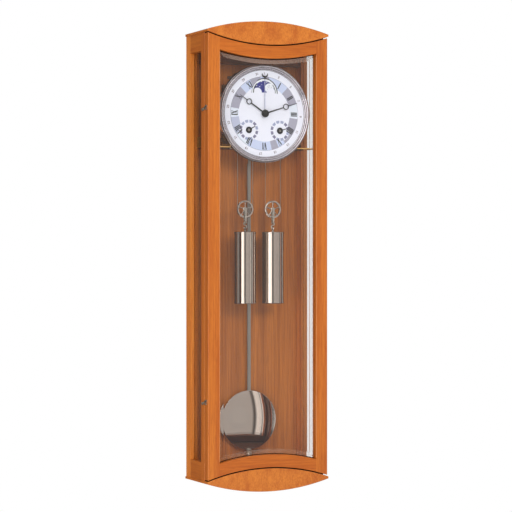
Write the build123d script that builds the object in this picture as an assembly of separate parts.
from build123d import *

import os
from math import acos, atan2, cos, degrees, hypot, pi, radians, sin, sqrt, tan

# Pendulum wall clock with a glazed door, two weights and a calendar dial.
# Millimetres. X runs to the right, Y towards the wall and Z up. The origin lies on the
# wall plane, on the clock's centre line, half way up the door.

# ---------------------------------------------------------------- driving dimensions

# case
case_width = 260.0
case_depth = 115.0              # wall plane to the door's front
door_height = 880.0             # at the door's corners
edge_sagitta = 21.0             # dip of the door's curved ends over the case's width
side_thickness = 16.0
front_stile_width = 17.4
rear_stile_width = 23.0
side_rail = 33.0                # side window to the door's corner height
side_rebate = 6.0               # width of the rebate that holds a side glass
side_lip = 8.0                  # wood outside a side glass
side_glass_thickness = 3.0
back_thickness = 5.0
crown_gap = 2.5                 # between the door and the crown or base
crown_tip = 4.0                 # thickness of the crown at its two tips
crown_sagitta = 20.0            # rise of its outer curve
crown_overhang = 2.0
edge_break = 0.8                # chamfer on the wood's outer edges
pane_clearance = 0.3

# door
door_thickness = 18.0
door_to_case = 0.6
door_stile = 25.0
door_rail = 25.0
glass_setback = 8.0
glass_thickness = 4.0
glass_rebate = 6.0
glass_bevel_width = 17.0
glass_bevel_depth = 1.8

# hinges and latches
fitting_inset = 150.0           # from the door's corners to a hinge's or latch's middle
hinge_length = 50.0
hinge_leaf = 1.0
hinge_leaf_width = 12.0
hinge_knuckles = 3
hinge_knuckle_radius = 2.3
hinge_pin_radius = 1.2
hinge_gap = 0.15                # between the leaves and between the knuckles
hinge_pin_proud = 0.5
hinge_offset = 2.6              # axis outside the case's side
latch_reach = 16.0              # pivot to pin
latch_inset = 25.0              # door's front to the pivot
latch_rest_angle = 20.0         # hook raised clear of the pin
latch_bar = 4.0
latch_eye_radius = 3.0
latch_thickness = 1.2
latch_stand_off = 0.4
latch_pin_radius = 1.2
latch_pin_play = 0.15
latch_pin_depth = 6.0           # of the pin in the door's edge
latch_screw_depth = 8.0
latch_head = 0.8                # height of the pin's and the screw's head

# hanger and screws
hanger_drop = 19.5              # keyhole's round hole below the crown's middle
hanger_hole_radius = 5.0
hanger_slot_radius = 2.5
hanger_slot_rise = 10.0
hanger_size = (60.0, 26.0)
hanger_thickness = 2.0
hanger_pocket_depth = 10.0
hanger_pocket_margin = 2.0      # round the keyhole
hanger_screw_offset = 22.8
hanger_screw_length = 13.4
hanging_rail_thickness = 12.0
hanging_rail_reach = 12.0       # below the keyhole's round hole
screw_radius = 1.6
screw_head_radius = 3.0
screw_head_height = 1.6
flange_screw_shares = (0.3, 0.8)    # places across half of the case's inner width
screw_skin = 1.0                # wood left behind a screw

# dial
dial_top_gap = 10.5             # bezel to the door's opening, on the centre line
dial_to_door = 22.0             # door's front to the dial's face
dial_thickness = 1.2
dial_foot_radius = 2.5
dial_foot_inset = 8.0           # from the front plate's sides
dial_foot_rise = 11.0           # above the seat
dial_foot_drop = 12.0           # below the front plate's top
bezel_side_gap = 7.0            # bezel to the door's opening at the sides
bezel_lap = 6.0                 # of the bezel outside the dial plate
bezel_wall = 1.2
bezel_skirt = 5.0               # length of the wall behind the dial plate
bezel_height = 7.0              # in front of the dial's face
# shares of the bezel's width and height, inside first
bezel_steps = ((0, 0.25), (0.2, 0.5), (0.32, 0.5), (0.52, 1), (0.76, 1), (0.9, 0.7), (1, 0.5))
chapter_inner_radius = 56.0     # clears the subdials
bezel_proportion = 11.5         # the rings outside it share their room in these proportions
date_ring_proportion = 13.0
chapter_proportion = 17.5
chapter_thickness = 0.4
arch_drop = 31.5                # chapter ring's outer edge to the moon arch's base line
arch_radius = 23.5
arch_frame = 4.2
moon_hump_radius = 9.5
moon_hump_offset = 15.0
moon_disc_room = 8.0            # between the disc's edge and the hub
moon_disc_thickness = 0.6
moon_disc_gap = 0.5             # behind the dial plate
moon_axis_drop = 4.0            # below the arch's base line
moon_hub_radius = 3.0
moon_hub_length = 3.0
moon_stud_gap = 1.3             # stud's end behind the disc
subdial_offset = 34.0
subdial_drop = 33.5

# hands
minute_hand_gap = 0.5           # its tip inside the chapter ring's outer edge
minute_ring_drop = 25.5         # ring's centre from the tip
hour_hand_drop = 8.0            # shorter than the minute hand
hour_ring_drop = 23.5
ring_radius = 6.2
ring_bar = 1.5                  # half width of a hand at its hub
ring_bar_taper = 0.65           # share left at the ring
ring_bar_tip = 0.3              # share left at the tip
ring_band = 1.8
minute_angle = 72.0             # clockwise from twelve
hour_angle = 303.6
date_hand_gap = 2.0             # crescent to the bezel
date_crescent_radius = 6.5
date_crescent_bite = 5.85       # radius of the disc that cuts the crescent
date_crescent_shift = 2.9       # of that disc outwards
date_stem = 1.2
date_stem_lap = 0.5             # of the stem in the crescent
date_hub_rim = 1.2              # wider than the date hand's tube
date_flange = 4.0               # wider than the date hand's tube
weekday_angle = 60.0
month_angle = 73.0
pointer_length = 15.5
pointer_root = 1.1              # half width at the hub
pointer_tip = 0.7
pointer_hub_radius = 6.5
hand_hub_radius = 7.6
hand_cap_radius = 3.4
hand_cap_height = 1.8
hand_thickness = 0.8
pointer_thickness = 0.6
flange_thickness = 0.8
date_flange_gap = 3.0           # dial plate's back to the date hand's flange
pointer_flange_gap = 2.0
hand_gap = 0.6
tube_wall = 0.8
cannon_wall = 0.6
running_clearance = 0.05
centre_arbor_lap = 0.24         # of the centre arbor in the minute hand
arbor_end_gap = 0.24

# movement
dial_to_plate = 12.0            # dial's face to the front plate
plate_back_depth = 35.0         # wall plane to the back plate's front
plate_thickness = 2.0
plate_half_width = 62.0
plate_rise = 60.5               # above the hub
pillar_radius = 3.5
bottom_pillar_inset = (5.0, 5.0)    # from the plates' edges
top_pillar_inset = (18.0, 8.0)
seat_drop = 66.5                # below the hub
seat_thickness = 2.0
seat_front_margin = 5.0         # in front of the front plate
seat_flange = 22.0
cable_slot = (4.0, 18.0)        # width and length of the seat's openings for the cables
rod_slot_half_width = 12.0
rod_slot_margins = (8.0, 7.0)   # in front of and behind the pendulum rod's front
drum_radius = 12.5
drum_flange_radius = 15.0
drum_flange = 1.5
drum_to_plate = 4.0             # front plate's face to the drum's front
drum_proportion = 20.0          # the drum and the train behind it share the movement's depth
train_proportion = 22.0
drum_arbor_radius = 2.9
drum_shoulder_gap = 1.0         # drum arbor's shoulder to the back plate
winding_square = 4.0
square_proud = 0.5              # in front of the pointers
cable_radius = 0.5
cable_play = 0.1                # between a cable and the groove or drum it runs on
ferrule_radius = 3.0            # stop on a cable's fixed end
ferrule_height = 3.0

# wheels
great_module = 1.25
great_teeth = 48
great_leaves = 8                # of the pinion that the great wheel drives
intermediate_module = 0.8
intermediate_teeth = 54
intermediate_leaves = 10
centre_module = 0.5
centre_teeth = 60
centre_leaves = 8
third_module = 0.48
third_teeth = 50
third_leaves = 6
motion_module = 0.6             # cannon pinion and minute wheel
motion_teeth = 30
motion_leaves = 10
hour_module = 0.6               # minute pinion and hour wheel
hour_teeth = 32
hour_leaves = 8
escape_teeth = 36
escape_radius = 11.0
escape_root = 9.24
escape_rise = 24.0              # escape arbor above the centre arbor
escape_gap = 4.0                # behind the back plate
escape_pivot = 1.0              # arbor behind the escape wheel's back
escape_lead = 0.6               # tooth pitches that stand the pallets in the wheel's gaps
escape_tip_share = 0.1          # of a tooth pitch, and so are the next two
escape_heel_share = 0.45
escape_gap_share = 0.85
anchor_rise = 15.5              # anchor arbor above the escape arbor
pallet_span = 7                 # tooth pitches between the anchor's pallets
pallet_width = 0.8
pallet_length = 3.2
pallet_depth = 0.4              # of the pallets inside the wheel's tip circle, at rest
anchor_boss = 3.0
anchor_bar = 1.8
wheel_thickness = 1.5
great_wheel_thickness = 2.5
wheel_arms = 5
arm_width = 1.6
wheel_rim = 1.8                 # inside the teeth
wheel_hub_radius = 5.0
great_hub_radius = 7.0
arbor_radius = 1.0
centre_arbor_radius = 1.5
pressure_angle = 20.0
tooth_addendum = 0.9            # modules
tooth_dedendum = 1.2
fine_teeth_from = 20            # wheels with fewer teeth get a third point on each flank
pinion_lap = 0.5                # of a pinion beyond each face of the wheel that drives it
layer_gap = 1.0                 # drum to the great wheel
# the steps from the back of one wheel to the next one's share the room behind the great wheel
intermediate_proportion = 5.5
centre_proportion = 4.0
third_proportion = 4.5
rear_proportion = 4.5
pin_wheel_proportion = 5.0
pin_proportion = 4.0
motion_gap = 1.0                # front plate to the minute wheel and the cannon pinion
hour_gap = 3.0                  # minute wheel's back to the hour wheel's back
stud_proud = 1.0                # minute wheel's stud in front of its pinion
backlash = 0.16                 # share of a tooth's width
crutch_length = 62.0
crutch_half_width = 2.0
crutch_thickness = 1.2
crutch_pin_radius = 1.0
crutch_pin_inset = 3.0          # above the crutch's end
crutch_pin_gap = 0.4            # pin's end to the pendulum rod
crutch_gap = 6.0                # crutch in front of the pendulum rod

# strike
strike_offset = 38.0
pin_wheel_radius = 17.0
pin_circle_radius = 14.5
pin_radius = 0.8
pin_count = 8
bell_offset = 34.0
bell_setback = 19.0             # bell's axis behind the front plate's face
bell_radius = 24.0
bell_height = 18.0
bell_wall = 1.5
bell_profile = ((1.0, 0.0), (0.95, 0.5), (0.7, 0.83), (0.25, 1.0))   # shares of its radius and height
bell_rise = 6.0                 # bell's rim above the plates
bell_post_radius = 1.8
bell_bridge = (8.0, 4.0)        # width and height
bell_bridge_drop = 8.0          # its middle below the plates' top
hammer_offset = 55.0
hammer_drop = 41.0              # its arbor below the plates' top
hammer_lean_angle = 8.0         # outwards from upright, at rest
hammer_bar = 2.4
hammer_thickness = 1.5
hammer_boss = 3.0
hammer_head_radius = 3.0
hammer_head_length = 8.0
hammer_strike_rise = 6.0        # the head's height above the bell's rim
hammer_tail = 9.2
hammer_tail_width = 2.0
hammer_tail_gap = 0.5           # tail to the pin wheel

# suspension cock
cock_rise = 8.0                 # above the anchor arbor
cock_foot = (32.0, 10.0)
cock_arm = (14.0, 6.0)
cock_lug = (14.0, 13.0)
cock_lug_drop = 4.0
cock_lug_gap = 0.5              # crutch to the lug
cock_lug_thickness = 1.5
cock_slot_room = 0.6            # round the spring's edges
cock_thickness = 2.0
cock_overhang = 1.0             # beyond the pendulum rod's front

# pendulum
rod_depth = 18.0                # wall plane to the rod's front
rod_width = 7.0
rod_thickness = 2.0
rod_top_drop = 95.5             # below the hub
rod_hole_radius = 1.8
bob_radius = 60.0
bob_low_gap = 2.0               # bob above the door's opening, on the centre line
bob_thickness = 20.0
bob_rim = 3.0
nut_radius = 5.0
nut_height = 8.0
thread_radius = 2.0
thread_length = 15.0
slide_clearance = 0.2
leader_width = 6.0
leader_thickness = 1.4
leader_drop = 7.0               # top of the leader below the anchor arbor
leader_lap = 2.5                # below the rod's hole
spring_width = 3.2
spring_thickness = 0.2
spring_reach = (9.0, 10.0)      # below and above the anchor arbor
spring_offset = 1.0             # its middle in front of the rod's front
spring_swing_angle = 3.5        # degrees each way that the cock's slot leaves free
leader_pin_proud = 0.6
clamp_size = (6.0, 3.6, 5.0)
clamp_drop = 8.5

# weights and pulleys
weight_radius = 22.0
weight_height = 144.0
weight_drop = 45.5              # top of the weight below the pulley's axis
weight_rim = 1.8                # height of a cap's bevel
weight_cap = 3.0
weight_shoulder = 0.9
weight_waist = 0.965            # share of the caps' radius
weight_edge = 0.88
weight_boss = (3.0, 2.2)        # radius at its foot and its top
weight_neck = 4.0
cable_drop = 190.5              # pulley's axis below the hub
pulley_radius = 17.6
pulley_groove_radius = 16.0
pulley_rim = 2.0
pulley_width = 4.0
pulley_bore = 1.3
pulley_boss = 4.2
pulley_spokes = 5
pulley_spoke = 2.4
spoke_lap = 0.5                 # of a spoke in the boss and in the rim
fork_width = 4.0
fork_gap = 0.6
fork_plate = 1.0
fork_reach = (6.0, 3.0)         # below the pulley and above its axis
fork_bridge = 2.0
eye_wire = 1.4
fork_eye_radius = 3.2
fork_eye_drop = 2.0
weight_eye_radius = 3.2
weight_eye_lap = 0.8            # of the eye in the weight's neck
hook_wire = 1.2
hook_angle = 250.0              # degrees in each bend of the S-hook

# ---------------------------------------------------------------- derived places

half_width = case_width / 2
half_height = door_height / 2
inner_x = half_width - side_thickness
window_half_height = half_height - side_rail
edge_radius = (half_width**2 + edge_sagitta**2) / (2 * edge_sagitta)
door_edge = half_height - edge_sagitta      # half height of the door on the centre line
case_edge = door_edge + crown_gap
opening_edge = door_edge - door_rail
opening_half = half_width - door_stile
door_front = -case_depth
door_back = door_front + door_thickness
case_front = door_back + door_to_case
window_front = case_front + front_stile_width
window_back = -rear_stile_width
fitting_height = half_height - fitting_inset
hinge_axis = (half_width + hinge_offset, (door_back + case_front) / 2)
latch_x = -half_width - latch_stand_off
latch_y = door_front + latch_inset
latch_outer_x = latch_x - latch_thickness - latch_stand_off
hanger_height = case_edge - hanger_drop
hanging_rail_low = hanger_height - hanging_rail_reach

bezel_outer_radius = opening_half - bezel_side_gap
ring_room = bezel_outer_radius - chapter_inner_radius
ring_unit = ring_room / (bezel_proportion + date_ring_proportion + chapter_proportion)
bezel_width = bezel_proportion * ring_unit
bezel_inner_radius = bezel_outer_radius - bezel_width
dial_radius = bezel_outer_radius - bezel_lap
dial_height = opening_edge - bezel_outer_radius - dial_top_gap
dial_face = door_front + dial_to_door
dial_back = dial_face + dial_thickness
chapter_outer_radius = chapter_inner_radius + chapter_proportion * ring_unit
arch_base = dial_height + chapter_outer_radius - arch_drop
hub = (0.0, dial_height)
moon_axis = (0.0, arch_base - moon_axis_drop)
moon_disc_radius = moon_axis[1] - dial_height - moon_disc_room
moon_disc_back = dial_back + moon_disc_gap + moon_disc_thickness
drum_left = (-subdial_offset, dial_height - subdial_drop)
drum_right = (subdial_offset, dial_height - subdial_drop)

minute_hand_length = chapter_outer_radius - minute_hand_gap
hour_hand_length = minute_hand_length - hour_hand_drop
date_hand_length = bezel_inner_radius - date_hand_gap - date_crescent_radius
pointer_back = dial_face - chapter_thickness - hand_gap / 2
date_back = pointer_back - pointer_thickness - 2 * hand_gap
hour_back = date_back - pointer_thickness - hand_gap
minute_back = hour_back - hand_thickness - hand_gap
pointer_bore = drum_arbor_radius + running_clearance
pointer_tube = pointer_bore + tube_wall
cannon_bore = centre_arbor_radius + running_clearance
cannon_outer = cannon_bore + cannon_wall
hour_bore = cannon_outer + running_clearance
hour_outer = hour_bore + tube_wall
date_bore = hour_outer + running_clearance
date_outer = date_bore + tube_wall

plate_front = dial_face + dial_to_plate
plate_back = -plate_back_depth
plate_rear = plate_back + plate_thickness       # back of the back plate
plate_top = dial_height + plate_rise
seat_top = dial_height - seat_drop
seat_low = seat_top - seat_thickness
bottom_pillar = (plate_half_width - bottom_pillar_inset[0], seat_top + bottom_pillar_inset[1])
top_pillar = (plate_half_width - top_pillar_inset[0], plate_top - top_pillar_inset[1])
drum_front = plate_front + drum_to_plate
drum_share = drum_proportion / (drum_proportion + train_proportion)
drum_rear = drum_front + (plate_back - drum_front) * drum_share
cable_y = (drum_front + drum_rear) / 2
great_bore = drum_arbor_radius + running_clearance
rod_front = -rod_depth
rod_axis_y = rod_front + rod_thickness / 2
crutch_y = rod_front - crutch_gap
crutch_low = dial_height + escape_rise + anchor_rise - crutch_length
crutch_pin = (0.0, crutch_low + crutch_pin_inset)
bell_place = (-bell_offset, plate_front + bell_setback)
bell_low = plate_top + bell_rise
hammer_place = (-hammer_offset, plate_top - hammer_drop)

bob_centre = -(opening_edge - bob_low_gap - bob_radius)
rod_low = bob_centre - bob_radius
rod_eye = (0.0, dial_height - rod_top_drop - rod_width / 2)
pulley_height = dial_height - cable_drop
weight_top = pulley_height - weight_drop
weight_eye_z = weight_top + weight_neck + weight_eye_radius - weight_eye_lap
cable_outer = subdial_offset + drum_radius + cable_radius + cable_play
cable_loop = pulley_groove_radius + cable_radius + cable_play
weight_x = cable_outer - cable_loop
cable_inner = weight_x - cable_loop
nodes = {}


# ---------------------------------------------------------------- shape helpers

def block(x, y, z):
    """Box between the pairs of limits x, y and z."""
    middle = [(a[0] + a[1]) / 2 for a in (x, y, z)]
    return Pos(*middle) * Box(*[abs(a[1] - a[0]) for a in (x, y, z)])


def plate(outline, y_back, thickness):
    """Flat piece with an outline drawn in X and Z, from y_back towards the front."""
    return extrude(Pos(0, y_back, 0) * (Plane.XZ * outline), thickness, dir=(0, -1, 0))


def rod(place, radius, y_back, length):
    """Round bar along Y, from y_back towards the front."""
    return plate(Pos(*place) * Circle(radius), y_back, length)


def tube(place, outer, inner, y_back, length):
    """Round tube along Y, from y_back towards the front."""
    return plate(Pos(*place) * (Circle(outer) - Circle(inner)), y_back, length)


def bar_x(y, z, radius, x_from, x_to):
    """Round bar along X."""
    return Pos((x_from + x_to) / 2, y, z) * Rot(0, 90, 0) * Cylinder(radius, abs(x_to - x_from))


def bar_z(x, y, radius, low, high):
    """Round bar along Z."""
    return Pos(x, y, (low + high) / 2) * Cylinder(radius, high - low)


def turned(place, *points):
    """Solid turned about the Y axis through place from (radius, y) points."""
    profile = make_face(Polyline(*points, close=True))
    return Pos(place[0], 0, place[1]) * revolve(profile, Axis.Y)


def turned_z(place, *points):
    """Solid turned about the Z axis through place (x, y) from (radius, z) points."""
    profile = make_face(Plane.XZ * Polyline(*points, close=True))
    return Pos(place[0], place[1], 0) * revolve(profile, Axis.Z)


def mirrored(shape):
    """Copy on the other side of the clock's centre plane."""
    return mirror(shape, Plane.YZ)


def polar(place, radius, angle):
    """Point at a clockwise angle in degrees from twelve, seen from the front."""
    turn = radians(angle)
    return place[0] + radius * sin(turn), place[1] + radius * cos(turn)


def edge_height(x, centre):
    """Height over x of a curved edge that is centre high on the centre line."""
    return centre + edge_radius - sqrt(edge_radius**2 - x**2)


def edge_arc(half, centre, side=1):
    """Curved edge across -half to half; side is 1 above and -1 below."""
    ends = side * edge_height(half, centre)
    return ThreePointArc((-half, ends), (0, side * centre), (half, ends))


def shield(half, centre):
    """Outline with straight sides and both curved ends."""
    end = edge_height(half, centre)
    sides = [Line((x, -end), (x, end)) for x in (-half, half)]
    return make_face([edge_arc(half, centre), edge_arc(half, centre, -1)] + sides)


def soften(shape, axis, limit):
    """Break the long outer edges along an axis that lie at the shape's front."""
    edges = shape.edges().filter_by(axis).filter_by(lambda e: abs(e.center().Y - limit) < 0.01)
    return chamfer(edges, edge_break)


# ---------------------------------------------------------------- case

def lens():
    """Outline of the crown: its lower edge follows the door, its upper edge rises."""
    half = half_width + crown_overhang
    low = edge_height(half, case_edge)
    high = low + crown_tip
    lower = ThreePointArc((-half, low), (0, case_edge), (half, low))
    upper = ThreePointArc((-half, high), (0, high + crown_sagitta), (half, high))
    return make_face([lower, upper, Line((-half, low), (-half, high)), Line((half, low), (half, high))])


def make_crown():
    """Solid lens-shaped crown, and the base as its mirror image."""
    crown = plate(lens(), 0, case_depth + crown_overhang)
    front = crown.faces().sort_by(Axis.Y)[0]
    crown = chamfer(front.edges(), edge_break)
    nodes["crown"] = crown
    nodes["base"] = mirror(crown, Plane.XY)


def make_side_frames():
    """Stiles, rails, glasses and beads of the two glazed sides."""
    envelope = plate(shield(half_width, case_edge), 0, case_depth)
    reach = (-half_height - crown_gap, half_height + crown_gap)
    lip_x = (half_width - side_lip, half_width)
    inner = (inner_x, half_width - side_lip)
    glass_front = window_front - side_rebate
    glass_back = window_back + side_rebate

    front = block(lip_x, (case_front, window_front), reach)
    front += block(inner, (case_front, glass_front), reach)
    rear = block(lip_x, (window_back, 0), reach) + block(inner, (glass_back, 0), reach)
    rails = []
    for side in (1, -1):
        low = side * window_half_height
        end = side * reach[1]
        rail = block(lip_x, (window_front, window_back), (low, end))
        rail += block(inner, (glass_front, glass_back), (low + side * side_rebate, end))
        rails.append(rail & envelope)
    front = soften(front & envelope, Axis.Z, case_front)
    rear = rear & envelope

    glass_high = window_half_height + side_rebate
    glass_x = (half_width - side_lip - side_glass_thickness, half_width - side_lip)
    glass = block(
        glass_x,
        (glass_front + pane_clearance, glass_back - pane_clearance),
        (-glass_high + pane_clearance, glass_high - pane_clearance),
    )
    bead_x = (inner_x, glass_x[0])
    high = (-glass_high, glass_high)
    beads = [
        block(bead_x, (glass_front, window_front), high),
        block(bead_x, (window_back, glass_back), high),
        block(bead_x, (window_front, window_back), (window_half_height, glass_high)),
        block(bead_x, (window_front, window_back), (-glass_high, -window_half_height)),
    ]
    seat = hinge_seats(case_front, case_front + hinge_leaf)
    latch_holes = [latch_screw_shank(side) for side in (1, -1)]
    nodes["front_stiles"] = Compound([front - seat, mirrored(front) - latch_holes])
    nodes["rear_stiles"] = Compound([rear, mirrored(rear)])
    nodes["side_rails"] = Compound(rails + [mirrored(r) for r in rails])
    nodes["side_glasses"] = Compound([glass, mirrored(glass)])
    nodes["side_glass_beads"] = Compound(beads + [mirrored(b) for b in beads])


def make_screws():
    """Screws of the hanger, of the seat's flange, of the lower pillars and of the latches."""
    screws = []
    middle = hanger_height + hanger_slot_rise / 2
    for x in (-hanger_screw_offset, hanger_screw_offset):
        screws.append(rod((x, middle), screw_radius, 0, hanger_screw_length))
    flange_front = -back_thickness - seat_thickness
    for share in flange_screw_shares:
        for x in (-inner_x * share, inner_x * share):
            place = (x, seat_top + seat_flange / 2)
            shank = rod(place, screw_radius, -screw_skin, back_thickness + seat_thickness)
            screws.append(shank + rod(place, screw_head_radius, flange_front, screw_head_height))
    y = (plate_front + plate_back) / 2
    for x in (-bottom_pillar[0], bottom_pillar[0]):
        shank = bar_z(x, y, screw_radius, seat_low, bottom_pillar[1])
        screws.append(shank + bar_z(x, y, screw_head_radius, seat_low - screw_head_height, seat_low))
    return screws + [latch_screw(side) for side in (1, -1)]


def make_back(screws):
    """Back panel, hanging rail and the keyhole hanger let into the panel."""
    panel = plate(shield(inner_x, case_edge), 0, back_thickness)
    wide, tall = hanger_size
    slot_top = hanger_height + hanger_slot_rise
    middle = (hanger_height + slot_top) / 2
    recess = block((-wide / 2, wide / 2), (-hanger_thickness, 0), (middle - tall / 2, middle + tall / 2))
    pocket_half = hanger_hole_radius + hanger_pocket_margin
    pocket = block(
        (-pocket_half, pocket_half),
        (-hanger_thickness - hanger_pocket_depth, 0),
        (hanger_height - pocket_half, slot_top + pocket_half),
    )
    rail = plate(shield(inner_x, case_edge), -back_thickness, hanging_rail_thickness)
    rail &= block((-inner_x, inner_x), (-case_depth, 0), (hanging_rail_low, case_edge + edge_sagitta))

    hole = Pos(0, hanger_height) * Circle(hanger_hole_radius)
    hole += Pos(0, slot_top) * Circle(hanger_slot_radius)
    hole += Pos(0, middle) * Rectangle(2 * hanger_slot_radius, hanger_slot_rise)
    hanger = plate(Pos(0, middle) * Rectangle(wide, tall) - hole, 0, hanger_thickness)

    nodes["back_panel"] = panel - recess - pocket - screws
    nodes["hanging_rail"] = rail - pocket - screws
    nodes["hanger_plate"] = hanger - screws
    nodes["case_screws"] = Compound(screws)


# ---------------------------------------------------------------- door

def make_door():
    """Two stiles, two curved rails, bevelled glass and the beads behind it."""
    blank = plate(shield(half_width, door_edge), door_back, door_thickness)
    blank = soften(blank, Axis.Z, door_front)
    rebate_half = opening_half + glass_rebate
    rebate_edge = opening_edge + glass_rebate
    glass_front = door_front + glass_setback
    glass_back = glass_front + glass_thickness
    frame = blank - plate(shield(opening_half, opening_edge), door_back, door_thickness)
    frame -= plate(shield(rebate_half, rebate_edge), door_back, door_back - glass_front)

    far = half_height + edge_sagitta
    middle = (-opening_half, opening_half)
    all_y = (door_front, door_back)
    right = frame & block((opening_half, half_width), all_y, (-far, far))
    left = frame & block((-half_width, -opening_half), all_y, (-far, far))
    right -= hinge_seats(door_back - hinge_leaf, door_back)
    nodes["door_right_stile"] = right
    nodes["door_left_stile"] = left - [latch_pin(side) for side in (1, -1)]
    nodes["door_top_rail"] = frame & block(middle, all_y, (0, far))
    nodes["door_bottom_rail"] = frame & block(middle, all_y, (-far, 0))

    pane = shield(rebate_half - pane_clearance, rebate_edge - pane_clearance)
    pane = plate(pane, glass_back, glass_thickness)
    front = pane.faces().sort_by(Axis.Y)[0]
    nodes["door_glass"] = chamfer(front.edges(), glass_bevel_width, glass_bevel_depth, reference=front)

    ring = plate(shield(rebate_half, rebate_edge), door_back, door_back - glass_back)
    ring -= plate(shield(opening_half, opening_edge), door_back, door_back - glass_back)
    sides = [(opening_half, rebate_half), (-rebate_half, -opening_half)]
    beads = [ring & block(x, all_y, (-far, far)) for x in sides]
    beads += [ring & block(middle, all_y, z) for z in ((0, far), (-far, 0))]
    nodes["door_glass_beads"] = Compound(beads)


# ---------------------------------------------------------------- hinges and latches

def hinge_seats(y_front, y_back):
    """The two shallow recesses that a pair of hinge leaves lies in."""
    x = (half_width - hinge_leaf_width, half_width)
    half = hinge_length / 2
    return [block(x, (y_front, y_back), (z - half, z + half)) for z in (fitting_height, -fitting_height)]


def make_hinges():
    """Butt hinges: every second knuckle belongs to the door's leaf, the rest to the case's."""
    x, y = hinge_axis
    knuckle = hinge_length / hinge_knuckles
    leaf_x = (half_width - hinge_leaf_width, x)
    door_leaves = []
    case_leaves = []
    for z in (fitting_height, -fitting_height):
        low = z - hinge_length / 2
        high = z + hinge_length / 2
        door_leaf = block(leaf_x, (door_back - hinge_leaf, y - hinge_gap), (low, high))
        case_leaf = block(leaf_x, (y + hinge_gap, case_front + hinge_leaf), (low, high))
        for index in range(hinge_knuckles):
            here = Pos(x, y, low + (index + 0.5) * knuckle)
            room = here * Cylinder(hinge_knuckle_radius + hinge_gap, knuckle + 2 * hinge_gap)
            barrel = here * Cylinder(hinge_knuckle_radius, knuckle - hinge_gap)
            if index % 2:
                door_leaf = door_leaf + barrel
                case_leaf = case_leaf - room
            else:
                case_leaf = case_leaf + barrel
                door_leaf = door_leaf - room
        pin_ends = (low - hinge_pin_proud, high + hinge_pin_proud)
        pin = bar_z(x, y, hinge_pin_radius, *pin_ends)
        play = bar_z(x, y, hinge_pin_radius + running_clearance, *pin_ends)
        door_leaves.append(door_leaf - play)
        case_leaves.append(case_leaf + pin)
    nodes["hinge_case_leaves"] = Compound(case_leaves)
    nodes["door_metalwork"] = Compound(door_leaves + [latch_pin(side) for side in (1, -1)])


def latch_pin(side):
    """Headed pin in the door's edge that a hook drops over."""
    z = side * fitting_height
    y = latch_y - latch_reach
    pin = bar_x(y, z, latch_pin_radius, -half_width + latch_pin_depth, latch_outer_x)
    return pin + bar_x(y, z, latch_pin_radius + latch_head, latch_outer_x, latch_outer_x - latch_head)


def latch_screw_shank(side):
    """Shank of the screw that a hook turns on."""
    return bar_x(latch_y, side * fitting_height, screw_radius, -half_width + latch_screw_depth, latch_outer_x)


def latch_screw(side):
    """Screw that a hook turns on."""
    head = bar_x(latch_y, side * fitting_height, screw_head_radius, latch_outer_x, latch_outer_x - latch_head)
    return latch_screw_shank(side) + head


def latch_hook(side):
    """Flat hook, raised clear of its pin, open on its under side."""
    play = latch_pin_radius + latch_pin_play
    outline = Pos(-latch_reach / 2, 0) * Rectangle(latch_reach, latch_bar)
    outline += Circle(latch_eye_radius) + Pos(-latch_reach, 0) * Circle(latch_eye_radius)
    outline -= Circle(screw_radius + running_clearance)
    outline -= Pos(-latch_reach, 0) * Circle(play)
    outline -= Pos(-latch_reach, -latch_bar) * Rectangle(2 * play, 2 * latch_bar)
    raised = Rot(0, 0, -latch_rest_angle) * outline
    face = Pos(latch_x, latch_y, side * fitting_height) * (Plane.YZ * raised)
    return extrude(face, latch_thickness, dir=(-1, 0, 0))


# ---------------------------------------------------------------- dial

def arch(radius):
    """Half disc that stands on the moon arch's base line."""
    disc = Pos(0, arch_base) * Circle(radius)
    return disc & (Pos(0, arch_base + radius / 2) * Rectangle(2 * radius, radius))


def moon_window():
    """Arched opening with the two humps that hide the moon."""
    window = arch(arch_radius)
    for x in (-moon_hump_offset, moon_hump_offset):
        window -= Pos(x, arch_base) * Circle(moon_hump_radius)
    return window


def make_dial():
    """Dial plate with its feet, the stepped bezel, the chapter ring and the moon disc."""
    outline = Pos(*hub) * Circle(dial_radius) - Pos(*hub) * Circle(date_outer + running_clearance)
    for place in (drum_left, drum_right):
        outline -= Pos(*place) * Circle(pointer_tube + running_clearance)
    dial = plate(outline - moon_window(), dial_back, dial_thickness)
    foot_x = plate_half_width - dial_foot_inset
    for x in (-foot_x, foot_x):
        for z in (seat_top + dial_foot_rise, plate_top - dial_foot_drop):
            dial += rod((x, z), dial_foot_radius, plate_front, plate_front - dial_back)
    nodes["dial_plate"] = dial

    steps = [(bezel_inner_radius + bezel_width * across, dial_face - bezel_height * forward)
             for across, forward in bezel_steps]
    skirt_inner = bezel_outer_radius - bezel_wall
    nodes["bezel"] = turned(
        hub,
        (bezel_inner_radius, dial_face),
        *steps,
        (bezel_outer_radius, dial_back + bezel_skirt),
        (skirt_inner, dial_back + bezel_skirt),
        (skirt_inner, dial_back),
        (dial_radius, dial_back),
        (dial_radius, dial_face),
    )
    ring = Pos(*hub) * (Circle(chapter_outer_radius) - Circle(chapter_inner_radius))
    nodes["chapter_ring"] = plate(ring - arch(arch_radius + arch_frame), dial_face, chapter_thickness)

    bore = arbor_radius + running_clearance
    disc = tube(moon_axis, moon_disc_radius, bore, moon_disc_back, moon_disc_thickness)
    boss = tube(moon_axis, moon_hub_radius, bore, moon_disc_back + moon_hub_length, moon_hub_length)
    nodes["moon_disc"] = disc + boss


# ---------------------------------------------------------------- hands

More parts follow.
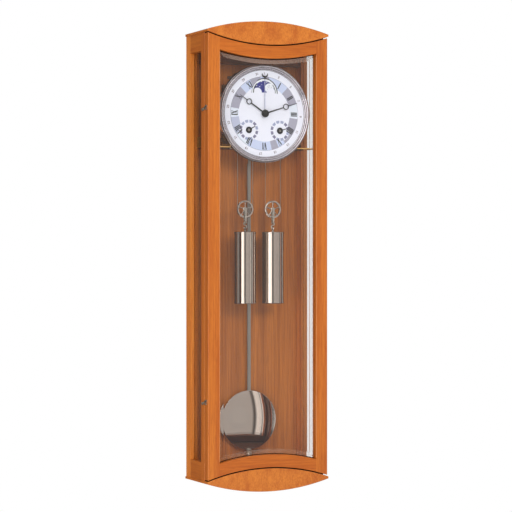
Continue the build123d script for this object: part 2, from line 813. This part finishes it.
def ring_hand(length, ring_place, angle, y_back):
    """Slender hand with an open ring near its tip, pointing at a clockwise angle."""
    waist = ring_bar * ring_bar_taper
    tip = ring_bar * ring_bar_tip
    right = [(ring_bar, 0), (waist, ring_place), (tip, length)]
    left = [(-x, z) for x, z in reversed(right)]
    outline = make_face(Polyline(*right, *left, close=True)) + Circle(hand_hub_radius)
    outline += Pos(0, ring_place) * Circle(ring_radius)
    outline -= Pos(0, ring_place) * Circle(ring_radius - ring_band)
    return plate(Pos(*hub) * (Rot(0, 0, -angle) * outline), y_back, hand_thickness)


def make_minute_hand():
    """Minute hand with its cap, on the cannon tube that ends in the motion work's pinion."""
    hand = ring_hand(minute_hand_length, minute_hand_length - minute_ring_drop, minute_angle, minute_back)
    hand += rod(hub, hand_cap_radius, minute_back - hand_thickness, hand_cap_height)
    hand += rod(hub, cannon_outer, motion_layer, motion_layer - minute_back)
    pinion = toothed(hub, motion_module, motion_leaves, cannon_phase, cannon_bore)
    hand += plate(pinion, motion_layer, wheel_thickness)
    bore_front = minute_back - centre_arbor_lap - arbor_end_gap
    nodes["minute_hand"] = hand - rod(hub, cannon_bore, motion_layer, motion_layer - bore_front)


def make_hour_hand():
    """Hour hand on the tube of the hour wheel."""
    hand = ring_hand(hour_hand_length, hour_hand_length - hour_ring_drop, hour_angle, hour_back)
    hand += rod(hub, hour_outer, hour_layer, hour_layer - hour_back)
    hand += plate(toothed(hub, hour_module, hour_teeth, hour_phase, hour_bore), hour_layer, wheel_thickness)
    nodes["hour_hand"] = hand - rod(hub, hour_bore, hour_layer, hour_layer - hour_back + hand_thickness)


def make_date_hand():
    """Date hand: a fine stem that carries a crescent, on a flanged tube."""
    crescent = Pos(0, date_hand_length) * Circle(date_crescent_radius)
    crescent -= Pos(0, date_hand_length + date_crescent_shift) * Circle(date_crescent_bite)
    stem_length = date_hand_length - date_crescent_radius + date_stem_lap
    stem = Pos(0, stem_length / 2) * Rectangle(date_stem, stem_length)
    outline = crescent + stem + Circle(date_outer + date_hub_rim)
    end = dial_back + date_flange_gap
    hand = plate(Pos(*hub) * outline, date_back, pointer_thickness)
    hand += rod(hub, date_outer, end, end - date_back)
    hand += rod(hub, date_outer + date_flange, end, flange_thickness)
    nodes["date_hand"] = hand - rod(hub, date_bore, end, end - date_back + pointer_thickness)


def pointer(place, angle):
    """Short pointer that turns on a tube round a winding arbor."""
    stem = Polyline((-pointer_root, 0), (-pointer_tip, pointer_length), (pointer_tip, pointer_length),
                    (pointer_root, 0), close=True)
    outline = Rot(0, 0, -angle) * make_face(stem) + Circle(pointer_hub_radius)
    end = dial_back + pointer_flange_gap
    hand = plate(Pos(*place) * outline, pointer_back, pointer_thickness)
    hand += rod(place, pointer_tube, end, end - pointer_back)
    hand += rod(place, pointer_hub_radius, end, flange_thickness)
    return hand - rod(place, pointer_bore, end, end - pointer_back + pointer_thickness)


# ---------------------------------------------------------------- wheels

def tooth_half_angle(teeth, module, radius):
    """Half the angle that an involute tooth covers at a radius."""
    pressure = radians(pressure_angle)
    pitch = module * teeth / 2
    base = pitch * cos(pressure)
    lean = acos(base / max(radius, base))
    at_pitch = pi / (2 * teeth) * (1 - backlash)
    return at_pitch + (tan(pressure) - pressure) - (tan(lean) - lean)


def toothed(place, module, teeth, phase, bore=arbor_radius / 2):
    """Outline of a wheel; phase is the direction of one tooth in radians."""
    pitch = module * teeth / 2
    root = pitch - tooth_dedendum * module
    tip = pitch + tooth_addendum * module
    steps = (root, pitch, tip) if teeth < fine_teeth_from else (root, tip)
    points = []
    for index in range(teeth):
        middle = phase + 2 * pi * index / teeth
        flanks = [(r, -tooth_half_angle(teeth, module, r)) for r in steps]
        flanks += [(r, -a) for r, a in reversed(flanks)]
        points += [(r * cos(middle + a), r * sin(middle + a)) for r, a in flanks]
    return Pos(*place) * (make_face(Polyline(*points, close=True)) - Circle(bore))


def crossings(place, module, teeth, hub_radius):
    """Openings between a wheel's arms, hub and rim."""
    root = module * teeth / 2 - tooth_dedendum * module
    ring = Circle(root - wheel_rim) - Circle(hub_radius)
    for index in range(wheel_arms):
        ring -= Rot(0, 0, 360 / wheel_arms * index) * (Pos(root / 2, 0) * Rectangle(root, arm_width))
    return Pos(*place) * ring


def meet_phase(place, phase, teeth, other, other_teeth):
    """Phase of the other wheel that puts its teeth in this wheel's gaps."""
    line = atan2(other[1] - place[1], other[0] - place[0])
    here = (line - phase) * teeth / (2 * pi)
    return line + pi - 2 * pi / other_teeth * (0.5 - here)


def corner(a, b, from_a, from_b, side):
    """Point at given distances from a and b, on one side of the line between them."""
    span = hypot(b[0] - a[0], b[1] - a[1])
    along = (from_a**2 - from_b**2 + span**2) / (2 * span)
    off = side * sqrt(from_a**2 - along**2)
    ux, uz = (b[0] - a[0]) / span, (b[1] - a[1]) / span
    return a[0] + along * ux - off * uz, a[1] + along * uz + off * ux


# centre distances of the wheels and the pinions that they drive
great_span = great_module * (great_teeth + great_leaves) / 2
intermediate_span = intermediate_module * (intermediate_teeth + intermediate_leaves) / 2
centre_span = centre_module * (centre_teeth + centre_leaves) / 2
third_span = third_module * (third_teeth + third_leaves) / 2
motion_span = motion_module * (motion_teeth + motion_leaves) / 2
strike_rise = sqrt(great_span**2 - (strike_offset - subdial_offset) ** 2)

# arbors
escape_place = (0.0, dial_height + escape_rise)
anchor_place = (0.0, escape_place[1] + anchor_rise)
intermediate_place = corner(drum_right, hub, great_span, intermediate_span, -1)
third_place = corner(hub, escape_place, centre_span, third_span, 1)
strike_place = (-strike_offset, drum_left[1] + strike_rise)
minute_wheel_place = (-motion_span, dial_height)

# layers, each the back of a wheel
motion_layer = plate_front - motion_gap
hour_layer = motion_layer - hour_gap
great_layer = drum_rear + layer_gap + great_wheel_thickness
step_sum = intermediate_proportion + centre_proportion + third_proportion + rear_proportion
step_unit = (plate_back - great_layer) / step_sum
intermediate_layer = great_layer + intermediate_proportion * step_unit
centre_layer = intermediate_layer + centre_proportion * step_unit
third_layer = centre_layer + third_proportion * step_unit
pin_layer = great_layer + pin_wheel_proportion * step_unit
escape_layer = plate_rear + escape_gap
minute_pinion_front = hour_layer - wheel_thickness - pinion_lap

# phases, each wheel set to the one that drives it
great_phase = 0.0
intermediate_phase = meet_phase(drum_right, great_phase, great_teeth, intermediate_place, great_leaves)
centre_phase = meet_phase(
    intermediate_place, intermediate_phase, intermediate_teeth, hub, intermediate_leaves)
third_phase = meet_phase(hub, centre_phase, centre_teeth, third_place, centre_leaves)
escape_pinion_phase = meet_phase(third_place, third_phase, third_teeth, escape_place, third_leaves)
strike_phase = meet_phase(drum_left, great_phase, great_teeth, strike_place, great_leaves)
cannon_phase = 0.0
minute_wheel_phase = meet_phase(hub, cannon_phase, motion_leaves, minute_wheel_place, motion_teeth)
hour_phase = meet_phase(minute_wheel_place, minute_wheel_phase, hour_leaves, hub, hour_teeth)


def arbor(place):
    """Arbor between the two plates with its pivots in them."""
    return rod(place, arbor_radius, plate_rear, plate_rear - plate_front)


def crossed_wheel(place, module, teeth, phase, layer):
    """Toothed wheel with open crossings, fused to its arbor."""
    outline = toothed(place, module, teeth, phase) - crossings(place, module, teeth, wheel_hub_radius)
    return plate(outline, layer, wheel_thickness)


def great_wheel(place):
    """Wheel that turns with a drum, round the drum's arbor."""
    outline = toothed(place, great_module, great_teeth, great_phase, great_bore)
    outline -= crossings(place, great_module, great_teeth, great_hub_radius)
    return plate(outline, great_layer, great_wheel_thickness)


def leaf_pinion(place, module, leaves, phase, layer, thickness):
    """Pinion a little longer than the thickness of the wheel in the layer that drives it."""
    return plate(toothed(place, module, leaves, phase), layer + pinion_lap, thickness + 2 * pinion_lap)


def make_going_train():
    """Great, intermediate, centre, third and escape wheels."""
    nodes["great_wheel"] = great_wheel(drum_right)

    wheel = crossed_wheel(intermediate_place, intermediate_module, intermediate_teeth, intermediate_phase,
                          intermediate_layer)
    pinion = leaf_pinion(intermediate_place, great_module, great_leaves, intermediate_phase, great_layer,
                         great_wheel_thickness)
    nodes["intermediate_wheel"] = wheel + pinion + arbor(intermediate_place)

    wheel = crossed_wheel(hub, centre_module, centre_teeth, centre_phase, centre_layer)
    pinion = leaf_pinion(hub, intermediate_module, intermediate_leaves, centre_phase, intermediate_layer,
                         wheel_thickness)
    centre = rod(hub, centre_arbor_radius, plate_rear, plate_rear - minute_back + centre_arbor_lap)
    nodes["centre_wheel"] = wheel + pinion + centre

    wheel = crossed_wheel(third_place, third_module, third_teeth, third_phase, third_layer)
    pinion = leaf_pinion(third_place, centre_module, centre_leaves, third_phase, centre_layer,
                         wheel_thickness)
    nodes["third_wheel"] = wheel + pinion + arbor(third_place)

    pinion = leaf_pinion(escape_place, third_module, third_leaves, escape_pinion_phase, third_layer,
                         wheel_thickness)
    back = escape_layer + escape_pivot
    pivots = rod(escape_place, arbor_radius, back, back - plate_front)
    nodes["escape_wheel"] = plate(escape_outline(), escape_layer, wheel_thickness) + pinion + pivots


def make_motion_work():
    """Minute wheel with the pinion that drives the hour wheel, on a stud of the front plate."""
    play = arbor_radius + running_clearance
    wheel = toothed(minute_wheel_place, motion_module, motion_teeth, minute_wheel_phase, play)
    pinion = toothed(minute_wheel_place, hour_module, hour_leaves, minute_wheel_phase, play)
    pinion_back = motion_layer - wheel_thickness
    nodes["minute_wheel"] = (plate(wheel, motion_layer, wheel_thickness)
                             + plate(pinion, pinion_back, pinion_back - minute_pinion_front))


def make_strike_train():
    """Strike great wheel and the wheel whose pins lift the hammer."""
    nodes["strike_great_wheel"] = great_wheel(drum_left)
    pitch = 360 / pin_count
    places = [polar(strike_place, pin_circle_radius, pitch * (index + 0.5)) for index in range(pin_count)]
    pins = [rod(place, pin_radius, pin_layer, pin_proportion * step_unit) for place in places]
    wheel = rod(strike_place, pin_wheel_radius, pin_layer, wheel_thickness)
    pinion = leaf_pinion(strike_place, great_module, great_leaves, strike_phase, great_layer,
                         great_wheel_thickness)
    nodes["strike_pin_wheel"] = wheel + pinion + arbor(strike_place) + pins


def escape_outline():
    """Escape wheel with pointed teeth that lean forwards, set so that the pallets stand in its gaps."""
    step = 2 * pi / escape_teeth
    first = pi / 2 - (pallet_span / 2 + escape_lead) * step
    tooth = (
        (escape_radius, 0),
        (escape_radius, escape_tip_share),
        (escape_root, escape_heel_share),
        (escape_root, escape_gap_share),
    )
    points = []
    for index in range(escape_teeth):
        for radius, share in tooth:
            turn = first + (index + share) * step
            points.append((radius * cos(turn), radius * sin(turn)))
    return Pos(*escape_place) * (make_face(Polyline(*points, close=True)) - Circle(arbor_radius / 2))


# ---------------------------------------------------------------- movement frame

def make_plates():
    """Front and back plate with their pivot holes, and the front plate's two studs."""
    middle = (seat_top + plate_top) / 2
    outline = Pos(0, middle) * Rectangle(2 * plate_half_width, plate_top - seat_top)
    pivot = Circle(arbor_radius + running_clearance)
    outline -= Pos(*hub) * Circle(centre_arbor_radius + running_clearance)
    for place in (intermediate_place, third_place, strike_place, escape_place, hammer_place):
        outline -= Pos(*place) * pivot
    front = outline
    back = outline - Pos(*anchor_place) * pivot
    for place in (drum_left, drum_right):
        front -= Pos(*place) * Circle(drum_arbor_radius + running_clearance)
        back -= Pos(*place) * pivot
    front = plate(front, plate_front + plate_thickness, plate_thickness)
    studs = (
        (minute_wheel_place, minute_pinion_front - stud_proud),
        (moon_axis, moon_disc_back + moon_stud_gap),
    )
    for place, end in studs:
        front += rod(place, arbor_radius, plate_front, plate_front - end)
    nodes["front_plate"] = front
    nodes["back_plate"] = plate(back, plate_rear, plate_thickness)


def make_seat(screws):
    """Metal seat that carries the movement, with slots for the cables and the pendulum, and its pillars."""
    inner = inner_x - pane_clearance
    seat = block((-inner, inner), (plate_front - seat_front_margin, -back_thickness), (seat_low, seat_top))
    seat += block((-inner, inner), (-back_thickness - seat_thickness, -back_thickness),
                  (seat_top, seat_top + seat_flange))
    through = (seat_low - seat_thickness, seat_top + seat_thickness)
    half_x, half_y = cable_slot[0] / 2, cable_slot[1] / 2
    for x in (cable_outer, cable_inner, -cable_outer, -cable_inner):
        seat -= block((x - half_x, x + half_x), (cable_y - half_y, cable_y + half_y), through)
    seat -= block((-rod_slot_half_width, rod_slot_half_width),
                  (rod_front - rod_slot_margins[0], rod_front + rod_slot_margins[1]), through)
    nodes["seat_plate"] = seat - screws

    pillars = []
    for x, z in (bottom_pillar, top_pillar):
        for side in (-1, 1):
            pillar = rod((side * x, z), pillar_radius, plate_back, plate_back - plate_front - plate_thickness)
            pillars.append(pillar - screws)
    nodes["plate_pillars"] = Compound(pillars)


def make_cock():
    """Rear cock that holds the suspension spring and the anchor's rear pivot."""
    low = anchor_place[1] + cock_rise
    back = rod_front + cock_overhang
    foot_half, arm_half, lug_half = cock_foot[0] / 2, cock_arm[0] / 2, cock_lug[0] / 2
    foot_y = (plate_rear, plate_rear + cock_thickness)
    foot = block((-foot_half, foot_half), foot_y, (low, low + cock_foot[1]))
    arm = block((-arm_half, arm_half), (plate_rear, back), (low, low + cock_arm[1]))
    lug_low = anchor_place[1] - cock_lug_drop
    lug_front = crutch_y + cock_lug_gap
    lug_back = lug_front + cock_lug_thickness
    lug = block((-lug_half, lug_half), (lug_front, lug_back), (lug_low, lug_low + cock_lug[1]))
    hole = rod(anchor_place, arbor_radius + running_clearance, lug_back, cock_lug_thickness)
    swing = spring_reach[1] * tan(radians(spring_swing_angle))
    slot_half = spring_thickness / 2 + swing + running_clearance
    slot_front = rod_front - spring_offset - spring_width / 2 - cock_slot_room
    slot = block((-slot_half, slot_half), (slot_front, back),
                 (low - cock_slot_room, anchor_place[1] + spring_reach[1] + cock_slot_room))
    nodes["suspension_cock"] = foot + arm + lug - hole - slot


# ---------------------------------------------------------------- strike

def make_bell():
    """Thin bell on its post, which stands on a bridge between the plates."""
    x, y = bell_place
    outer = [(bell_radius * across, bell_low + bell_height * up) for across, up in bell_profile]
    inner = [((bell_radius - bell_wall) * across, bell_low + (bell_height - bell_wall) * up)
             for across, up in reversed(bell_profile)]
    inner_top = bell_low + bell_height - bell_wall
    cup = turned_z(bell_place, *outer, (0, bell_low + bell_height), (0, inner_top), *inner)
    wide, tall = bell_bridge
    middle = plate_top - bell_bridge_drop
    post = bar_z(x, y, bell_post_radius, middle, inner_top)
    bridge = block((x - wide / 2, x + wide / 2), (plate_front + plate_thickness, plate_back),
                   (middle - tall / 2, middle + tall / 2))
    nodes["bell"] = Compound([cup, post + bridge])


def make_hammer():
    """Hammer that swings up against the bell's rim, with the tail that the pins lift."""
    y = bell_place[1]
    length = bell_low + hammer_strike_rise - hammer_place[1]
    stem = Pos(0, length / 2) * Rectangle(hammer_bar, length) + Circle(hammer_boss)
    stem = Pos(*hammer_place) * (Rot(0, 0, hammer_lean_angle) * stem)
    tip = polar(hammer_place, length, -hammer_lean_angle)
    head = Rot(0, 90 - hammer_lean_angle, 0) * Cylinder(hammer_head_radius, hammer_head_length)
    hammer = plate(stem, y + hammer_thickness / 2, hammer_thickness) + Pos(tip[0], y, tip[1]) * head
    aim = degrees(atan2(strike_place[1] - hammer_place[1], strike_place[0] - hammer_place[0]))
    tail = Rot(0, 0, aim) * (Pos(hammer_tail / 2, 0) * Rectangle(hammer_tail, hammer_tail_width))
    tail_back = pin_layer - wheel_thickness - hammer_tail_gap
    hammer += plate(Pos(*hammer_place) * (tail + Circle(hammer_tail_width)), tail_back, hammer_thickness)
    nodes["hammer"] = hammer + arbor(hammer_place)


# ---------------------------------------------------------------- drums and anchor

def make_drums():
    """Cable drums with their arbors; each arbor ends in a square for the key."""
    square_front = pointer_back - pointer_thickness - square_proud
    shoulder = plate_back - drum_shoulder_gap
    for name, place in (("left_drum", drum_left), ("right_drum", drum_right)):
        drum = rod(place, drum_radius, drum_rear, drum_rear - drum_front)
        drum += rod(place, drum_flange_radius, drum_front + drum_flange, drum_flange)
        drum += rod(place, drum_flange_radius, drum_rear, drum_flange)
        drum += rod(place, drum_arbor_radius, shoulder, shoulder - dial_back)
        drum += rod(place, arbor_radius, plate_rear, plate_rear - shoulder)
        square = Pos(*place) * Rectangle(winding_square, winding_square)
        nodes[name] = drum + plate(square, dial_back, dial_back - square_front)


def make_anchor():
    """Anchor over the escape wheel, with its crutch down to the pendulum leader."""
    half_span = pallet_span * 180 / escape_teeth
    inner = escape_radius - pallet_depth
    outer = inner + pallet_length
    outline = Pos(*anchor_place) * Circle(anchor_boss)
    for side in (-1, 1):
        pallet = Pos(0, (inner + outer) / 2) * Rectangle(pallet_width, pallet_length)
        outline += Pos(*escape_place) * (Rot(0, 0, -side * half_span) * pallet)
        end = polar(escape_place, outer - pallet_width, side * half_span)
        run = (end[0] - anchor_place[0], end[1] - anchor_place[1])
        arm = Pos(hypot(*run) / 2, 0) * Rectangle(hypot(*run) + anchor_bar / 2, anchor_bar)
        outline += Pos(*anchor_place) * (Rot(0, 0, degrees(atan2(run[1], run[0]))) * arm)
    anchor = plate(outline, escape_layer, wheel_thickness)
    rear = crutch_y + cock_lug_gap + cock_lug_thickness
    anchor += rod(anchor_place, arbor_radius, rear, rear - plate_back)
    anchor += block((-crutch_half_width, crutch_half_width), (crutch_y - crutch_thickness, crutch_y),
                    (crutch_low, anchor_place[1] + anchor_boss))
    pin_back = rod_front - crutch_pin_gap
    nodes["anchor"] = anchor + rod(crutch_pin, crutch_pin_radius, pin_back, pin_back - crutch_y)


# ---------------------------------------------------------------- pendulum

def make_leader():
    """Leader with its suspension spring, the clamp that joins them and the pin that takes the rod."""
    clamp_wide, clamp_deep, clamp_tall = clamp_size
    middle_y = rod_front - spring_offset
    clamp_z = anchor_place[1] - clamp_drop
    low = rod_eye[1] - rod_hole_radius - leader_lap
    half = leader_width / 2
    high = anchor_place[1] - leader_drop
    leader = block((-half, half), (rod_front - leader_thickness, rod_front), (low, high))
    leader -= rod(crutch_pin, crutch_pin_radius + running_clearance, rod_front, leader_thickness)
    pin_length = rod_thickness + leader_pin_proud
    leader += rod(rod_eye, rod_hole_radius, rod_front + pin_length, pin_length)
    leader += block((-spring_thickness / 2, spring_thickness / 2),
                    (middle_y - spring_width / 2, middle_y + spring_width / 2),
                    (anchor_place[1] - spring_reach[0], anchor_place[1] + spring_reach[1]))
    leader += block((-clamp_wide / 2, clamp_wide / 2), (middle_y - clamp_deep / 2, middle_y + clamp_deep / 2),
                    (clamp_z - clamp_tall / 2, clamp_z + clamp_tall / 2))
    nodes["pendulum_leader"] = leader


def make_rod():
    """Flat rod with a round head, and the thread and nut that set the bob's height."""
    half = rod_width / 2
    flat = block((-half, half), (rod_front, rod_front + rod_thickness), (rod_low, rod_eye[1]))
    flat += rod(rod_eye, half, rod_front + rod_thickness, rod_thickness)
    flat -= rod(rod_eye, rod_hole_radius, rod_front + rod_thickness, rod_thickness)
    nodes["pendulum_rod"] = flat + bar_z(0, rod_axis_y, thread_radius, rod_low - thread_length, rod_low)
    nut = bar_z(0, rod_axis_y, nut_radius, rod_low - nut_height, rod_low)
    nodes["rating_nut"] = nut - bar_z(0, rod_axis_y, thread_radius, rod_low - thread_length, rod_low)


def make_bob():
    """Convex bob with a slot that slides on the rod."""
    half = bob_thickness / 2
    rim = bob_rim / 2
    curve = (bob_radius**2 + (half - rim) ** 2) / (2 * (half - rim))
    mid = bob_radius / 2
    crown = half - curve + sqrt(curve**2 - mid**2)
    face = make_face([
        Line((0, half), (0, -half)),
        ThreePointArc((0, -half), (mid, -crown), (bob_radius, -rim)),
        Line((bob_radius, -rim), (bob_radius, rim)),
        ThreePointArc((bob_radius, rim), (mid, crown), (0, half)),
    ])
    bob = Pos(0, rod_axis_y, bob_centre) * revolve(face, Axis.Y)
    slot_x = rod_width / 2 + slide_clearance
    slot_y = rod_thickness / 2 + slide_clearance
    nodes["bob"] = bob - block((-slot_x, slot_x), (rod_axis_y - slot_y, rod_axis_y + slot_y),
                               (rod_low - bob_rim, bob_centre + bob_radius + bob_rim))


# ---------------------------------------------------------------- weights and pulleys

def make_weight():
    """Cylinder with flared caps, a neck and an eye, on the right."""
    low = weight_top - weight_height
    waist = weight_radius * weight_waist
    edge = weight_radius * weight_edge
    root, neck = weight_boss
    neck_top = weight_top + weight_neck
    weight = turned_z(
        (weight_x, cable_y),
        (0, low), (edge, low), (weight_radius, low + weight_rim), (weight_radius, low + weight_cap),
        (waist, low + weight_cap + weight_shoulder), (waist, weight_top - weight_cap - weight_shoulder),
        (weight_radius, weight_top - weight_cap), (weight_radius, weight_top - weight_rim),
        (edge, weight_top), (root, weight_top), (neck, neck_top), (0, neck_top),
    )
    return weight + eye_ring(weight_eye_z, weight_eye_radius)


def eye_ring(z, radius):
    """Wire ring that stands across the clock's front, on the right."""
    return Pos(weight_x, cable_y, z) * Rot(0, 90, 0) * Torus(radius, eye_wire)


def s_hook(high, low):
    """Wire bent to an S between two heights, measured on its centre line."""
    bend = (high - low) / 4
    middle = (high + low) / 2
    upper = CenterArc((weight_x, middle + bend), bend, -90, hook_angle)
    lower = CenterArc((weight_x, middle - bend), bend, 90, hook_angle)
    halves = []
    for arc in (upper, lower):
        path = Pos(0, cable_y, 0) * (Plane.XZ * arc)
        halves.append(sweep(Plane(origin=path @ 0, z_dir=path % 0) * Circle(hook_wire), path=path))
    return halves[0] + halves[1]


def make_fork():
    """Fork round the pulley with its pin, its ring and the hook that holds the weight."""
    y = cable_y
    half_x = fork_width / 2
    half_y = pulley_width / 2 + fork_gap
    outer_y = half_y + fork_plate
    low = pulley_height - pulley_radius - fork_reach[0]
    fork = block((weight_x - half_x, weight_x + half_x), (y - half_y, y + half_y), (low, low + fork_bridge))
    for side in (-1, 1):
        fork += block((weight_x - half_x, weight_x + half_x), (y + side * half_y, y + side * outer_y),
                      (low, pulley_height + fork_reach[1]))
    fork += rod((weight_x, pulley_height), pulley_bore - running_clearance, y + outer_y, 2 * outer_y)
    ring_z = low - fork_eye_drop
    seat = eye_wire + hook_wire + running_clearance
    hook = s_hook(ring_z - fork_eye_radius + seat, weight_eye_z + weight_eye_radius - seat)
    return Compound([fork + eye_ring(ring_z, fork_eye_radius), hook])


def make_pulley():
    """Grooved pulley with open spokes."""
    y = cable_y
    place = (weight_x, pulley_height)
    groove = pulley_groove_radius
    inner = groove - pulley_rim
    half = pulley_width / 2
    rim = turned(
        place,
        (inner, y - half), (pulley_radius, y - half), (groove, y - cable_radius), (groove, y + cable_radius),
        (pulley_radius, y + half), (inner, y + half),
    )
    pulley = rim + tube(place, pulley_boss, pulley_bore, y + half, pulley_width)
    reach = (pulley_boss - spoke_lap, inner + spoke_lap)
    spoke = Pos(0, (reach[0] + reach[1]) / 2) * Rectangle(pulley_spoke, reach[1] - reach[0])
    for index in range(pulley_spokes):
        turned_spoke = Pos(*place) * (Rot(0, 0, 360 / pulley_spokes * index) * spoke)
        pulley += plate(turned_spoke, y + pulley_spoke / 2, pulley_spoke)
    return pulley


def make_cable():
    """Cable from the drum down round the pulley and up to its stop on the seat."""
    outer = (cable_outer, drum_right[1])
    inner = (cable_inner, seat_top)
    bottom = (weight_x, pulley_height - cable_loop)
    route = Line(outer, (outer[0], pulley_height))
    route += ThreePointArc((outer[0], pulley_height), bottom, (inner[0], pulley_height))
    route += Line((inner[0], pulley_height), inner)
    path = Pos(0, cable_y, 0) * (Plane.XZ * route)
    section = Plane(origin=(outer[0], cable_y, outer[1]), z_dir=(0, 0, -1)) * Circle(cable_radius)
    stop = bar_z(inner[0], cable_y, ferrule_radius, seat_top, seat_top + ferrule_height)
    return sweep(section, path=path) + stop


def make_weights():
    """Weight, fork, pulley and cable on the right, and their mirror images on the left."""
    shapes = {
        "weight": make_weight(),
        "pulley_fork": make_fork(),
        "pulley": make_pulley(),
        "cable": make_cable(),
    }
    for name, shape in shapes.items():
        nodes["right_" + name] = shape
        nodes["left_" + name] = mirrored(shape)


# ---------------------------------------------------------------- build

def build():
    """Make every node and write one STEP file each."""
    screws = make_screws()
    make_crown()
    make_side_frames()
    make_back(screws)
    make_door()
    make_hinges()
    nodes["upper_latch_hook"] = latch_hook(1)
    nodes["lower_latch_hook"] = latch_hook(-1)
    make_dial()
    make_going_train()
    make_motion_work()
    make_strike_train()
    make_minute_hand()
    make_hour_hand()
    make_date_hand()
    nodes["weekday_hand"] = pointer(drum_left, weekday_angle)
    nodes["month_hand"] = pointer(drum_right, month_angle)
    make_plates()
    make_seat(screws)
    make_cock()
    make_bell()
    make_hammer()
    make_drums()
    make_anchor()
    make_leader()
    make_rod()
    make_bob()
    make_weights()
    os.makedirs("parts", exist_ok=True)
    for name, shape in nodes.items():
        export_step(shape, f"parts/{name}.step")
    print(len(nodes), "nodes")


build()
